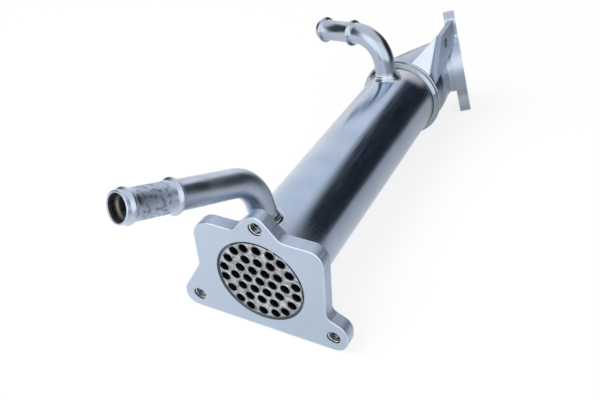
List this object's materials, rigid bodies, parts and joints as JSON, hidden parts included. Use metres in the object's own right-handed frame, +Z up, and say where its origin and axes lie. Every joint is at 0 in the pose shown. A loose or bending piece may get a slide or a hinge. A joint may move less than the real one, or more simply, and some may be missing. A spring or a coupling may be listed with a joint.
{
  "type": "egr cooler",
  "caption": "Stainless steel shell-and-tube exhaust gas cooler with a bolted inlet flange, two bent coolant hose pipes and a slanted outlet flange.",
  "frame": {"origin": "middle of the inlet flange's straight lower edge, halfway through its thickness", "axes": "+Y runs along the shell's axis from the inlet flange to the outlet end, +Z points up from the lower edge, +X is to the right seen from the inlet side"},
  "size_m": [0.1113, 0.3485, 0.1183],
  "materials": {
    "plate_steel": "matt blasted plate",
    "shell_steel": "fine drawn, semi bright",
    "pipe_steel": "drawn, semi bright",
    "sheet_steel": "brazed, slightly warm",
    "tube_steel": "drawn",
    "weld_steel": "rippled bead",
    "collar_steel": "rolled, bright",
    "header_steel": "satin"
  },
  "bodies": {
    "root": {"bracket_plate": "plate_steel", "bracket_web": "plate_steel", "core_tube_01": "tube_steel", "core_tube_02": "tube_steel", "core_tube_03": "tube_steel", "core_tube_04": "tube_steel", "core_tube_05": "tube_steel", "core_tube_06": "tube_steel", "core_tube_07": "tube_steel", "core_tube_08": "tube_steel", "core_tube_09": "tube_steel", "core_tube_10": "tube_steel", "core_tube_11": "tube_steel", "core_tube_12": "tube_steel", "core_tube_13": "tube_steel", "core_tube_14": "tube_steel", "core_tube_15": "tube_steel", "core_tube_16": "tube_steel", "core_tube_17": "tube_steel", "core_tube_18": "tube_steel", "core_tube_19": "tube_steel", "core_tube_20": "tube_steel", "core_tube_21": "tube_steel", "core_tube_22": "tube_steel", "core_tube_23": "tube_steel", "core_tube_24": "tube_steel", "core_tube_25": "tube_steel", "core_tube_26": "tube_steel", "core_tube_27": "tube_steel", "core_tube_28": "tube_steel", "core_tube_29": "tube_steel", "core_tube_30": "tube_steel", "core_tube_31": "tube_steel", "core_tube_32": "tube_steel", "core_tube_33": "tube_steel", "core_tube_34": "tube_steel", "core_tube_35": "tube_steel", "core_tube_36": "tube_steel", "core_tube_37": "tube_steel", "flange_weld": "weld_steel", "front_coolant_pipe": "pipe_steel", "front_pipe_weld": "weld_steel", "front_tube_sheet": "sheet_steel", "header_weld": "weld_steel", "inlet_flange": "plate_steel", "outlet_flange": "plate_steel", "outlet_header": "header_steel", "rear_collar": "collar_steel", "rear_coolant_pipe": "pipe_steel", "rear_pipe_weld": "weld_steel", "rear_tube_sheet": "sheet_steel", "shell": "shell_steel"}
  },
  "joints": []
}
